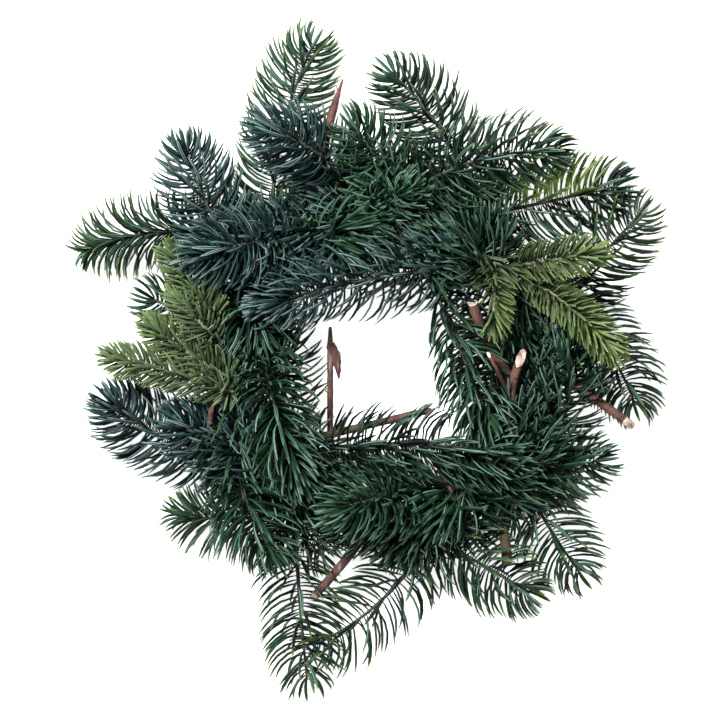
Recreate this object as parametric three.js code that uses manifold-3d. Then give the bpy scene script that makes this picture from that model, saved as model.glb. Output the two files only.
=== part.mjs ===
// A fresh evergreen wreath, lying face up: cut sprays of spruce, two fronds of olive fir and some
// bare twigs, piled on a ring that is one vine wound round three times like a rope.
// Millimetres and degrees. +Z is up and +Y is the wreath's top. Angles turn left from +X.
import * as THREE from 'three';
import { mergeVertices } from 'three/addons/utils/BufferGeometryUtils.js';
import Module from 'manifold-3d';

const wasm = await Module();
wasm.setup();

// The ring: a vine that orbits the ring's centreline as it goes round
const RING = { x: 7, y: -6, radius: 78, axisHeight: 8.5 };
const VINE = { radius: 4.1, orbit: 5, turns: 2.93, twistPerTurn: 600, firstTwist: -240, sides: 7, step: 15 };
const BLOCK_SIZE = 200; // of the block that cuts off what lies below the surface

// The hole in the middle, which every spray keeps to its own side of
const HOLE = { left: -14.5, right: 31.5, low: -22, high: 15 };

// Stems, and how they lie on each other
const SPRAY_STEM = { rootRadius: 1.9, tipRadius: 0.9, sides: 5, step: 3.7, bare: 12, budLength: 4 };
const SPRIG_BARE = 7;
const PILE = {
  gap: 0.4, ballStep: 1.5, fine: 3, slope: 0.45, round: 8, leastRise: 12, riseRatio: 1.3, droop: 0.12,
};

// Needles: three-sided spikes raised from every third facet of a stem. Over its last stretch they
// get shorter, down to the tip share, and lean from the root pitch to the tip pitch.
const SPRUCE = { length: 25, tipShare: 0.55, rootPitch: 58, tipPitch: 32, lastStretch: 30, every: 3 };
const FIR = { length: 14, tipShare: 0.7, rootPitch: 50, tipPitch: 28, lastStretch: 18, every: 3 };
const NEEDLE_DRAW = { turn: 5, pitch: 4, length: 0.07 };
const CLEARANCE = { between: 0.35, within: 0.03, floor: 0.5, foot: 0.03, ownStem: 0.08 };
const TURNS_TRIED = [0, 14, -14, 28, -28];
const PITCHES_TRIED = [1, 0.72, 1.25];
const LENGTHS_TRIED = [1, 0.8, 0.62];
const STEPS_TRIED = 60;
const SAME_POINT = 1e-4;
const SEED = 1116;

const BARK_ROUGHNESS = 0.9;
const NEEDLE_ROUGHNESS = 0.75;
const COLOURS = { green: 0x24462f, blue: 0x2b4a4c, olive: 0x66762f, bark: 0x6a463b, vine: 0x6b4c3d };

// name, place on the ring, first heading, whole turn, length, height of the stem, flatness, colour
const SPRAYS = [
  ['spruce_top_tall', 136, 96, -32, 120, 14, 0.5, 'green'],
  ['spruce_top_left', 97, 105, 65, 74, 42, 0.25, 'blue'],
  ['spruce_top_middle', 78, 112, 20, 60, 40, 0.2, 'green'],
  ['spruce_top_right', 46, 94, 44, 112, 24, 0.4, 'green'],
  ['spruce_upper_right', 92, 45, -48, 102, 38, 0.2, 'green'],
  ['spruce_right_arched', 74, 11, 2, 105, 14, 0.5, 'green'],
  ['spruce_right_rising', 9, 53, -6, 92, 14, 0.5, 'green'],
  ['spruce_right_falling', 40, -14, -58, 104, 20, 0.5, 'green'],
  ['spruce_right_low', -56, 24, -20, 72, 28, 0.2, 'green'],
  ['spruce_right_under', -41, -8, -5, 40, 14, 0.5, 'green'],
  ['spruce_right_upright', -56, 10, 91, 107, 26, 0.3, 'green'],
  ['spruce_right_filler', -37, 62, 28, 66, 20, 0.2, 'green'],
  ['spruce_hole_right', 81, -66, -2, 115, 38, 0.1, 'green'],
  ['spruce_inner_right', 30, -112, 30, 72, 24, 0.2, 'green'],
  ['spruce_hole_bottom', -141, 18, -34, 134, 36, 0.1, 'green'],
  ['spruce_bottom_front', -50, 183, 12, 75, 50, 0, 'green'],
  ['spruce_bottom_filler', -76, -10, 4, 38, 22, 0.3, 'green'],
  ['spruce_bottom_right', -86, -24, -8, 82, 20, 0.4, 'green'],
  ['spruce_bottom_corner', -31, -68, 15, 75, 16, 0.5, 'green'],
  ['spruce_bottom_left', -65, -110, -46, 103, 14, 0.5, 'green'],
  ['spruce_bottom_tall', -126, -88, 4, 99, 14, 0.5, 'green'],
  ['spruce_left_foot', -116, 198, -26, 70, 14, 0.4, 'green'],
  ['spruce_left_hanging', -165, -96, 42, 80, 38, 0.2, 'green'],
  ['spruce_left_low', -146, 182, -42, 83, 20, 0.4, 'blue'],
  ['spruce_left_inner', -137, 138, 32, 57, 34, 0.2, 'blue'],
  ['spruce_left_front', 150, -82, 14, 99, 50, 0, 'green'],
  ['spruce_hole_left', -131, 97, -20, 78, 12, 0.3, 'green'],
  ['spruce_hole_top', 44, 182, 16, 118, 44, 0, 'blue'],
  ['spruce_upper_left', 101, 188, 10, 83, 50, 0.1, 'blue'],
  ['spruce_top_front', 118, 20, 14, 55, 56, 0, 'green'],
  ['spruce_left_rising', 142, 137, -32, 79, 34, 0.3, 'blue'],
  ['spruce_left_far', 131, 152, 50, 103, 22, 0.4, 'green'],
  ['spruce_left_under', 180, 118, 40, 57, 16, 0.5, 'green'],
  ['spruce_inner_top', 38, 140, 22, 44, 46, 0.1, 'green'],
  ['spruce_top_under', 58, 112, 8, 32, 32, 0.2, 'green'],
  ['spruce_top_filler', 36, 172, -8, 78, 32, 0.2, 'green'],
  ['spruce_left_ring', 172, 84, -42, 60, 26, 0.2, 'green'],
  ['spruce_bottom_ring', -66, 196, -24, 60, 26, 0.2, 'green'],
  ['spruce_top_ring', 104, 12, -24, 52, 26, 0.2, 'green'],
  ['spruce_low_ring', -146, -60, 24, 40, 28, 0.2, 'green'],
];

// The fronds: a leading stem as above, then its side sprigs as share along it, heading, turn, length
const FRONDS = [
  { lead: ['fir_right', 52, -20, -32, 90, 56, 0.2, 'olive'],
    sprigs: [[0.22, 8, 0, 46], [0.14, -90, -3, 34]] },
  { lead: ['fir_left', -169, 95, 37, 84, 42, 0.2, 'olive'],
    sprigs: [[0.05, 160, 8, 65], [0.14, 150, -6, 50], [0.36, 138, -10, 34]] },
];

// name, place on the ring, heading, turn, length, height, [share, radius] pairs along it
const TWIGS = [
  ['twig_hole_left', -110, 90, 0, 96, 20, [[0, 1.7], [0.93, 1.6], [1, 0.8]]],
  ['twig_hole_bottom', -147, 13.5, 0, 94, 30, [[0, 2.1], [0.97, 2], [1, 1.2]]],
  ['twig_hole_right', -10, 136, -30, 59, 44, [[0, 2.9], [1, 2.6]]],
  ['twig_fork', -30, 98, -30, 50, 46, [[0, 2.6], [1, 2.3]]],
  ['twig_right', 4, -28, -10, 65, 24, [[0, 2.6], [1, 2.3]]],
  ['twig_bottom_right', -46, -63, -26, 48, 24, [[0, 2.9], [1, 2.7]]],
  ['twig_bottom', -92, -125, -8, 54, 16, [[0, 2.5], [1, 2.2]]],
  ['twig_top', 115, 92, -22, 83, 20, [[0, 2.5], [0.8, 2.3], [1, 0.4]]],
  ['twig_left', 150, -118, 20, 71, 40, [[0, 1.7], [1, 1.5]]],
  ['twig_thin', -60, 118, 0, 18, 56, [[0, 0.9], [1, 0.8]]],
];
const TWIG = { sides: 6, step: 8.5 };

// Twigs with a side stem: share along the twig, heading, turn, length, [share, radius] pairs
const SIDE_TWIGS = {
  twig_fork: [0.55, 118, 0, 27, [[0, 1.2], [1, 0.9]]],
  twig_hole_left: [0.95, -64, -24, 19, [[0, 1.4], [0.3, 2.3], [0.55, 1.6], [0.75, 0.9], [1, 0.3]]],
};

const radians = THREE.MathUtils.degToRad;
const { clamp, lerp } = THREE.MathUtils;

// Repeatable draws between -1 and 1
function drawsFrom(seed) {
  let state = seed;
  return () => {
    state = (Math.imul(state, 1664525) + 1013904223) >>> 0;
    return state / 2 ** 31 - 1;
  };
}

const draw = drawsFrom(SEED);

function onRing(angle) {
  const a = radians(angle);
  return { x: RING.x + RING.radius * Math.cos(a), y: RING.y + RING.radius * Math.sin(a) };
}

function radiusAlong(pairs, share) {
  const next = Math.max(1, pairs.findIndex(([at]) => at >= share));
  const [a, b] = [pairs[next - 1], pairs[next]];
  return lerp(a[1], b[1], clamp((share - a[0]) / (b[0] - a[0]), 0, 1));
}

// Points of the vine's axis: round the ring, and round the ring's centreline as it goes
function vineAxis() {
  const count = Math.round(VINE.turns * 2 * Math.PI * RING.radius / VINE.step);
  return Array.from({ length: count + 1 }, (_, i) => {
    const turn = VINE.turns * i / count;
    const round = radians(360 * turn);
    const twist = radians(VINE.firstTwist + VINE.twistPerTurn * turn);
    const out = RING.radius + VINE.orbit * Math.cos(twist);
    const x = RING.x + out * Math.cos(round);
    const y = RING.y + out * Math.sin(round);
    const z = RING.axisHeight + VINE.orbit * Math.sin(twist);
    return { point: new THREE.Vector3(x, y, z), radius: VINE.radius };
  });
}

// What already lies in the pile, as balls along each stem
const pile = [];

function addToPile(axis, owner) {
  for (let i = 1; i < axis.length; i++) {
    const spots = Math.ceil(axis[i].point.distanceTo(axis[i - 1].point) / PILE.ballStep);
    for (let k = 0; k < spots; k++) {
      const point = axis[i - 1].point.clone().lerp(axis[i].point, k / spots);
      pile.push({ point, radius: axis[i - 1].radius, owner });
    }
  }
}

// The least height at which a stem passes over all that lies under this place
function heightOverPile(x, y, radius, owner) {
  let height = radius;
  for (const ball of pile) {
    const reach = radius + ball.radius + PILE.gap;
    const across = Math.hypot(x - ball.point.x, y - ball.point.y);
    if (ball.owner === owner || across >= reach) continue;
    height = Math.max(height, ball.point.z + Math.sqrt(reach * reach - across * across));
  }
  return height;
}

// A stem's axis: an even bend in plan. It rises from its root to its own height, droops a little,
// and passes in a rounded hump over each stem under it.
function layStem(stem) {
  const count = PILE.fine * Math.max(3, Math.round(stem.length / stem.step));
  const step = stem.length / count;
  const rise = Math.max(PILE.leastRise, PILE.riseRatio * Math.abs(stem.height - (stem.rootHeight ?? 0)));
  let { x, y } = stem.root;
  const places = Array.from({ length: count + 1 }, (_, i) => {
    const heading = radians(stem.heading + stem.turn * (i + 0.5) / count);
    const place = { x, y, along: i * step, radius: stem.radiusAt(i / count) };
    x += step * Math.cos(heading);
    y += step * Math.sin(heading);
    return place;
  });
  const needed = places.map((p) => heightOverPile(p.x, p.y, p.radius, stem.name));
  const low = stem.rootHeight ?? 0;
  return places.filter((_, i) => i % PILE.fine === 0).map((p, i) => {
    const share = THREE.MathUtils.smoothstep(p.along, 0, rise);
    const sag = PILE.droop * stem.height * (p.along / stem.length) ** 2;
    let height = low + (stem.height - low) * share - sag;
    needed.forEach((over, k) => {
      const away = Math.hypot(p.along - places[k].along, PILE.round) - PILE.round;
      height = Math.max(height, over - PILE.slope * away);
    });
    if (i === 0) height = stem.rootHeight ?? height;
    return { point: new THREE.Vector3(p.x, p.y, height), radius: p.radius };
  });
}

// Cross sections along an axis, each turned half a side against the one before
function sectionsOf(axis, sides) {
  return axis.map(({ point, radius }, k) => {
    const before = axis[Math.max(0, k - 1)].point;
    const after = axis[Math.min(axis.length - 1, k + 1)].point;
    const ahead = after.clone().sub(before).normalize();
    const side = new THREE.Vector3(0, 0, 1).cross(ahead).normalize();
    const up = ahead.clone().cross(side);
    const corners = Array.from({ length: sides }, (_, i) => {
      const a = 2 * Math.PI * (i + (k % 2) / 2) / sides;
      return point.clone()
        .addScaledVector(side, radius * Math.cos(a))
        .addScaledVector(up, radius * Math.sin(a));
    });
    return { centre: point, ahead, side, up, radius, corners };
  });
}

// The facets of the band between two sections, as corner places [section, corner], facing out
function bandFacets(k, sides) {
  const facets = [];
  for (let i = 0; i < sides; i++) {
    const next = (i + 1) % sides;
    const over = k % 2 ? next : i;
    facets.push([[k, i], [k, next], [k + 1, over]]);
    facets.push(k % 2 ? [[k + 1, i], [k, i], [k + 1, next]] : [[k + 1, i], [k, next], [k + 1, next]]);
  }
  return facets;
}

// A closed stem: its bands, a flat root end, and a flat cut or a pointed bud at the tip.
// spikes maps a facet's name to the point that it is raised to.
function stemGeometry(sections, sides, budTip, spikes = new Map()) {
  const points = sections.flatMap((section) => section.corners.map((corner) => corner.clone()));
  const triangles = [];
  const last = sections.length - 1;
  const number = ([k, i]) => k * sides + i;
  const raise = (a, b, c, tip) => {
    points.push(tip);
    const t = points.length - 1;
    triangles.push([a, b, t], [b, c, t], [c, a, t]);
  };
  for (let k = 0; k < last; k++) {
    bandFacets(k, sides).forEach((facet, f) => {
      const [a, b, c] = facet.map(number);
      const tip = spikes.get(`${k}/${f}`);
      if (tip) raise(a, b, c, tip);
      else triangles.push([a, b, c]);
    });
  }
  for (let i = 1; i < sides - 1; i++) triangles.push([0, i + 1, i]);
  if (budTip) {
    points.push(budTip);
    const bud = points.length - 1;
    for (let i = 0; i < sides; i++) triangles.push([number([last, i]), number([last, (i + 1) % sides]), bud]);
  } else {
    for (let i = 1; i < sides - 1; i++) triangles.push([0, i, i + 1].map((at) => number([last, at])));
  }
  const geometry = new THREE.BufferGeometry();
  geometry.setAttribute('position', new THREE.Float32BufferAttribute(points.flatMap((p) => p.toArray()), 3));
  geometry.setIndex(triangles.flat());
  return geometry;
}

// Convex bits of everything placed, kept in a grid of cubes so that near ones are found quickly
const CUBE = 27;
const cubes = new Map();
const cubeName = (x, y, z) => `${x},${y},${z}`;

function bitOf(points, stem, isNeedle) {
  const centre = points.reduce((sum, p) => sum.add(p), new THREE.Vector3()).divideScalar(points.length);
  const reach = Math.max(...points.map((p) => p.distanceTo(centre)));
  return { points, stem, isNeedle, centre, reach };
}

function remember(bit) {
  const name = cubeName(...bit.centre.toArray().map((v) => Math.floor(v / CUBE)));
  if (!cubes.has(name)) cubes.set(name, []);
  cubes.get(name).push(bit);
}

function rememberStem(stem) {
  const { sections } = stem;
  for (let k = 1; k < sections.length; k++) {
    remember(bitOf([...sections[k - 1].corners, ...sections[k].corners], stem, false));
  }
  if (stem.budLength) remember(bitOf([...sections.at(-1).corners, budOf(stem)], stem, false));
}

function bitsNear(centre) {
  const [x, y, z] = centre.toArray().map((v) => Math.floor(v / CUBE));
  const near = [];
  for (let i = x - 1; i <= x + 1; i++) {
    for (let j = y - 1; j <= y + 1; j++) {
      for (let k = z - 1; k <= z + 1; k++) near.push(...(cubes.get(cubeName(i, j, k)) ?? []));
    }
  }
  return near;
}

function furthest(points, direction, sign) {
  let best = -Infinity;
  let pick;
  for (const p of points) {
    const reach = sign * p.dot(direction);
    if (reach > best) [best, pick] = [reach, p];
  }
  return pick;
}

// Whether two convex bits stay more than gap apart. A point of their difference walks towards the
// origin; the plane through the point furthest back is a sure bound from below.
function areApart(a, b, gap) {
  const v = a[0].clone().sub(b[0]);
  const w = new THREE.Vector3();
  for (let i = 0; i < STEPS_TRIED; i++) {
    const distance = v.length();
    if (distance < gap) return false;
    w.copy(furthest(a, v, -1)).sub(furthest(b, v, 1));
    if (v.dot(w) > gap * distance) return true;
    const back = v.clone().sub(w);
    v.addScaledVector(back, -Math.min(1, v.dot(back) / back.lengthSq()));
  }
  return false;
}

// A needle's outer part, from a share of its length on
function outerPart(base, tip, share) {
  return [...base.map((p) => p.clone().lerp(tip, share)), tip];
}

function isApartFrom(bit, base, tip, stem) {
  const whole = [...base, tip];
  if (bit.stem.name !== stem.name) return areApart(whole, bit.points, CLEARANCE.between);
  if (bit.isNeedle) {
    const other = outerPart(bit.points.slice(0, 3), bit.points[3], CLEARANCE.foot);
    return areApart(outerPart(base, tip, CLEARANCE.foot), other, CLEARANCE.within);
  }
  const part = bit.stem === stem ? outerPart(base, tip, CLEARANCE.ownStem) : whole;
  return areApart(part, bit.points, CLEARANCE.within);
}

function needleIsClear(base, tip, stem, side) {
  if (tip.z < CLEARANCE.floor || side(tip) > 0) return false;
  const { centre, reach } = bitOf([...base, tip], stem, true);
  return bitsNear(centre).every((bit) => (
    bit.centre.distanceTo(centre) > bit.reach + reach + CLEARANCE.between
      || isApartFrom(bit, base, tip, stem)));
}

// How far a point is past the side of the hole that this stem keeps to; below zero is clear
function sideOfHole(axis) {
  const sides = [
    (p) => p.x - HOLE.left, (p) => HOLE.right - p.x, (p) => p.y - HOLE.low, (p) => HOLE.high - p.y,
  ];
  const worst = sides.map((side) => Math.max(...axis.map(({ point }) => side(point))));
  return sides[worst.indexOf(Math.min(...worst))];
}

// The tip of one needle, leaning forward from its facet, or nothing where no way is clear
function aimNeedle(base, section, fromTip, stem, side) {
  const { kind, flatness } = stem;
  const middle = base.reduce((sum, p) => sum.add(p), new THREE.Vector3()).divideScalar(3);
  const out = middle.clone().sub(section.centre);
  const facing = Math.atan2(out.dot(section.up), out.dot(section.side)) + radians(NEEDLE_DRAW.turn * draw());
  const aimed = facing - flatness * Math.sin(2 * facing);
  const near = clamp(1 - fromTip / kind.lastStretch, 0, 1) ** 2;
  const pitch = lerp(kind.rootPitch, kind.tipPitch, near) + NEEDLE_DRAW.pitch * draw();
  const full = kind.length * lerp(1, kind.tipShare, near) * (1 + NEEDLE_DRAW.length * draw());
  for (const shorter of LENGTHS_TRIED) {
    for (const steeper of PITCHES_TRIED) {
      for (const turned of TURNS_TRIED) {
        const lean = radians(pitch * steeper);
        const way = aimed + radians(turned);
        const tip = middle.clone()
          .addScaledVector(section.ahead, full * shorter * Math.cos(lean))
          .addScaledVector(section.side, full * shorter * Math.sin(lean) * Math.cos(way))
          .addScaledVector(section.up, full * shorter * Math.sin(lean) * Math.sin(way));
        if (needleIsClear(base, tip, stem, side)) return tip;
      }
    }
  }
  return undefined;
}

// Raises a needle from every third facet past the bare root, and tells where each one ends
function growNeedles(stem) {
  const { sections, kind } = stem;
  const spikes = new Map();
  const side = sideOfHole(stem.axis);
  let count = 0;
  for (let k = Math.round(stem.bare / stem.step); k < sections.length - 1; k++) {
    bandFacets(k, SPRAY_STEM.sides).forEach((facet, f) => {
      count += 1;
      if (count % kind.every) return;
      const base = facet.map(([s, i]) => sections[s].corners[i]);
      const fromTip = (sections.length - 1 - k) * stem.step;
      const tip = aimNeedle(base, sections[k], fromTip, stem, side);
      if (!tip) return;
      spikes.set(`${k}/${f}`, tip);
      remember(bitOf([...base, tip], stem, true));
    });
  }
  return spikes;
}

function solidOf(geometry) {
  const bare = geometry.clone();
  bare.deleteAttribute('normal');
  bare.deleteAttribute('uv');
  const merged = mergeVertices(bare, SAME_POINT);
  const vertProperties = new Float32Array(merged.attributes.position.array);
  const triVerts = new Uint32Array(merged.index.array);
  return new wasm.Manifold(new wasm.Mesh({ numProp: 3, vertProperties, triVerts }));
}

function geometryOf(solid) {
  const mesh = solid.getMesh();
  const geometry = new THREE.BufferGeometry();
  geometry.setAttribute('position', new THREE.BufferAttribute(mesh.vertProperties, 3));
  geometry.setIndex(new THREE.BufferAttribute(mesh.triVerts, 1));
  return geometry;
}

function namedMesh(name, geometry, colour, roughness) {
  geometry.computeVertexNormals();
  const material = new THREE.MeshStandardMaterial({ color: colour, roughness, metalness: 0 });
  const mesh = new THREE.Mesh(geometry, material);
  mesh.name = name;
  return mesh;
}

// The ring's vine, with its low points cut flat where they touch the surface
function vineRing() {
  const name = 'vine_ring';
  const axis = vineAxis();
  addToPile(axis, name);
  const sections = sectionsOf(axis, VINE.sides);
  rememberStem({ name, sections });
  const below = new THREE.BoxGeometry(BLOCK_SIZE, BLOCK_SIZE, BLOCK_SIZE);
  below.translate(RING.x, RING.y, -BLOCK_SIZE / 2);
  const vine = solidOf(stemGeometry(sections, VINE.sides)).subtract(solidOf(below));
  return namedMesh(name, geometryOf(vine), COLOURS.vine, BARK_ROUGHNESS);
}

function sprayStem([name, place, heading, turn, length, height, flatness, colour], kind) {
  const radiusAt = (share) => lerp(SPRAY_STEM.rootRadius, SPRAY_STEM.tipRadius, share);
  const { step, sides, bare, budLength } = SPRAY_STEM;
  const root = onRing(place);
  return {
    name, root, heading, turn, length, height, flatness, colour, kind, radiusAt, step, sides, bare, budLength,
  };
}

function twigStem([name, place, heading, turn, length, height, radii]) {
  const radiusAt = (share) => radiusAlong(radii, share);
  return { ...TWIG, name, root: onRing(place), heading, turn, length, height, colour: 'bark', radiusAt };
}

function layDown(stem) {
  stem.axis = layStem(stem);
  addToPile(stem.axis, stem.name);
  stem.sections = sectionsOf(stem.axis, stem.sides);
  rememberStem(stem);
}

// A side stem that starts inside its leading stem, a share of the way along it
function sideStem(lead, share, heading, turn, length, changes) {
  const from = lead.axis[Math.round(share * (lead.axis.length - 1))].point;
  const root = { x: from.x, y: from.y };
  const side = { ...lead, root, rootHeight: from.z, heading, turn, length, ...changes };
  layDown(side);
  return side;
}

function budOf(stem) {
  const end = stem.sections.at(-1);
  return stem.budLength ? end.centre.clone().addScaledVector(end.ahead, stem.budLength) : undefined;
}

function stemSolid(stem) {
  return stemGeometry(stem.sections, stem.sides, budOf(stem), stem.kind ? growNeedles(stem) : undefined);
}

// Lays every stem, the lowest first, and then grows the needles, the topmost first
function wreathParts() {
  const leads = new Map(FRONDS.map(({ lead, sprigs }) => [lead[0], sprigs]));
  const stems = [
    ...SPRAYS.map((row) => sprayStem(row, SPRUCE)),
    ...FRONDS.map(({ lead }) => sprayStem(lead, FIR)),
    ...TWIGS.map(twigStem),
  ].sort((a, b) => a.height - b.height);
  for (const stem of stems) {
    layDown(stem);
    stem.parts = [stem];
    for (const [share, ...way] of leads.get(stem.name) ?? []) {
      stem.parts.push(sideStem(stem, share, ...way, { bare: SPRIG_BARE }));
    }
    if (!SIDE_TWIGS[stem.name]) continue;
    const [share, heading, turn, length, radii] = SIDE_TWIGS[stem.name];
    const radiusAt = (at) => radiusAlong(radii, at);
    stem.parts.push(sideStem(stem, share, heading, turn, length, { radiusAt }));
  }
  return stems.reverse().map((stem) => {
    const [first, ...others] = stem.parts.map(stemSolid);
    const geometry = others.length
      ? geometryOf(others.reduce((joined, other) => joined.add(solidOf(other)), solidOf(first)))
      : first;
    const roughness = stem.kind ? NEEDLE_ROUGHNESS : BARK_ROUGHNESS;
    return namedMesh(stem.name, geometry, COLOURS[stem.colour], roughness);
  });
}

const wreath = new THREE.Group();
wreath.add(vineRing(), ...wreathParts());

export default wreath;
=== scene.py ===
"""Dresses a fresh evergreen wreath: spruce sprays, fir fronds and bare twigs on a twisted vine.

Rows and shapes are in millimetres and degrees, in the wreath's own frame: +Z is up, away from the
surface that it lies on, and +Y is its top. Angles turn left from +X. Meshes are made in metres.
"""

import functools
from dataclasses import dataclass, field, replace

import bpy
import numpy as np
from bpy.props import FloatProperty, FloatVectorProperty, IntProperty, PointerProperty
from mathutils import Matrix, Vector


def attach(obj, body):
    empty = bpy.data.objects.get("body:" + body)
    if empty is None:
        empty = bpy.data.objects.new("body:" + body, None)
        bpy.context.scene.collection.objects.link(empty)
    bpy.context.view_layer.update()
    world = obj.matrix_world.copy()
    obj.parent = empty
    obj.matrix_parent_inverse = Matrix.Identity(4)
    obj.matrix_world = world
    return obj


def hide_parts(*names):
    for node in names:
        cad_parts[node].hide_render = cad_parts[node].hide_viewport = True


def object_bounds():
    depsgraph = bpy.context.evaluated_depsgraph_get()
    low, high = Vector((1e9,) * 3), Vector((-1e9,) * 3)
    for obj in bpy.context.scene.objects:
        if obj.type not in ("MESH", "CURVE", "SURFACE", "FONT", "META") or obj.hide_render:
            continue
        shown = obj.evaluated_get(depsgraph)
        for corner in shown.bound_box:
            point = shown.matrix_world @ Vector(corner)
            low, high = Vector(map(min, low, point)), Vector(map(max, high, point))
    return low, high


bl_info = {
    "name": "Evergreen wreath",
    "version": (1, 0, 0),
    "blender": (4, 5, 0),
    "location": "3D View > Sidebar > Wreath",
    "description": "Grows the needles and bark of a cut evergreen wreath and sets up its studio",
    "category": "Object",
}

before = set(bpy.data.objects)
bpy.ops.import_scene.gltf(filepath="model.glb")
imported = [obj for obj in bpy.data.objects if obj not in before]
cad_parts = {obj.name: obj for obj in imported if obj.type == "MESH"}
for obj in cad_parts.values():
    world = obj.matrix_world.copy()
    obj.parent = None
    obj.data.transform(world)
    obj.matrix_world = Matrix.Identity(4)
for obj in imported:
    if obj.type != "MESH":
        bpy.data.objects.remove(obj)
CAD_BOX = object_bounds()
MM = 0.001
BODY = "root"

# The ring: a vine that orbits the ring's centreline as it goes round
RING_CENTRE = np.array([7.0, -6.0])
RING_RADIUS = 78
RING_HEIGHT = 8.5
VINE_RADIUS = 4.1
VINE_ORBIT = 5
VINE_TURNS = 2.93
VINE_TWIST_PER_TURN = 600
VINE_FIRST_TWIST = -240
VINE_STEP = 15

# Each spray keeps to its own side of this opening: left, right, low and high
HOLE = (-14.5, 31.5, -22, 15)

# How stems lie on each other: the gap between them, the step of the balls that stand for them, how
# much finer a stem is laid than its axis, the slope and roundness of its humps, over what length it
# rises at least and for each millimetre of height, and how much of its height its end droops
PILE_GAP = 0.4
BALL_STEP = 1.5
FINE = 3
SLOPE = 0.45
ROUND = 8
LEAST_RISE = 12
RISE_RATIO = 1.3
DROOP = 0.12

# A spray's (share, radius) pairs, and the steps of the axes
SPRAY_RADII = ((0, 1.9), (1, 0.9))
SPRAY_STEP = 3.7
TWIG_STEP = 8.5
SEED = 1116

# name, place on the ring, first heading, whole turn, length, height of the stem, flatness, colour
SPRAYS = (
    ("spruce_top_tall", 136, 96, -32, 120, 14, 0.5, "green"),
    ("spruce_top_left", 97, 105, 65, 74, 42, 0.25, "blue"),
    ("spruce_top_middle", 78, 112, 20, 60, 40, 0.2, "green"),
    ("spruce_top_right", 46, 94, 44, 112, 24, 0.4, "green"),
    ("spruce_upper_right", 92, 45, -48, 102, 38, 0.2, "green"),
    ("spruce_right_arched", 74, 11, 2, 105, 14, 0.5, "green"),
    ("spruce_right_rising", 9, 53, -6, 92, 14, 0.5, "green"),
    ("spruce_right_falling", 40, -14, -58, 104, 20, 0.5, "green"),
    ("spruce_right_low", -56, 24, -20, 72, 28, 0.2, "green"),
    ("spruce_right_under", -41, -8, -5, 40, 14, 0.5, "green"),
    ("spruce_right_upright", -56, 10, 91, 107, 26, 0.3, "green"),
    ("spruce_right_filler", -37, 62, 28, 66, 20, 0.2, "green"),
    ("spruce_hole_right", 81, -66, -2, 115, 38, 0.1, "green"),
    ("spruce_inner_right", 30, -112, 30, 72, 24, 0.2, "green"),
    ("spruce_hole_bottom", -141, 18, -34, 134, 36, 0.1, "green"),
    ("spruce_bottom_front", -50, 183, 12, 75, 50, 0, "green"),
    ("spruce_bottom_filler", -76, -10, 4, 38, 22, 0.3, "green"),
    ("spruce_bottom_right", -86, -24, -8, 82, 20, 0.4, "green"),
    ("spruce_bottom_corner", -31, -68, 15, 75, 16, 0.5, "green"),
    ("spruce_bottom_left", -65, -110, -46, 103, 14, 0.5, "green"),
    ("spruce_bottom_tall", -126, -88, 4, 99, 14, 0.5, "green"),
    ("spruce_left_foot", -116, 198, -26, 70, 14, 0.4, "green"),
    ("spruce_left_hanging", -165, -96, 42, 80, 38, 0.2, "green"),
    ("spruce_left_low", -146, 182, -42, 83, 20, 0.4, "blue"),
    ("spruce_left_inner", -137, 138, 32, 57, 34, 0.2, "blue"),
    ("spruce_left_front", 150, -82, 14, 99, 50, 0, "green"),
    ("spruce_hole_left", -131, 97, -20, 78, 12, 0.3, "green"),
    ("spruce_hole_top", 44, 182, 16, 118, 44, 0, "blue"),
    ("spruce_upper_left", 101, 188, 10, 83, 50, 0.1, "blue"),
    ("spruce_top_front", 118, 20, 14, 55, 56, 0, "green"),
    ("spruce_left_rising", 142, 137, -32, 79, 34, 0.3, "blue"),
    ("spruce_left_far", 131, 152, 50, 103, 22, 0.4, "green"),
    ("spruce_left_under", 180, 118, 40, 57, 16, 0.5, "green"),
    ("spruce_inner_top", 38, 140, 22, 44, 46, 0.1, "green"),
    ("spruce_top_under", 58, 112, 8, 32, 32, 0.2, "green"),
    ("spruce_top_filler", 36, 172, -8, 78, 32, 0.2, "green"),
    ("spruce_left_ring", 172, 84, -42, 60, 26, 0.2, "green"),
    ("spruce_bottom_ring", -66, 196, -24, 60, 26, 0.2, "green"),
    ("spruce_top_ring", 104, 12, -24, 52, 26, 0.2, "green"),
    ("spruce_low_ring", -146, -60, 24, 40, 28, 0.2, "green"),
)

# A frond's leading stem as above, then its side sprigs as share along it, heading, turn, length
FRONDS = (
    (("fir_right", 52, -20, -32, 90, 56, 0.2, "olive"),
     ((0.22, 8, 0, 46), (0.14, -90, -3, 34))),
    (("fir_left", -169, 95, 37, 84, 42, 0.2, "olive"),
     ((0.05, 160, 8, 65), (0.14, 150, -6, 50), (0.36, 138, -10, 34))),
)

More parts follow.
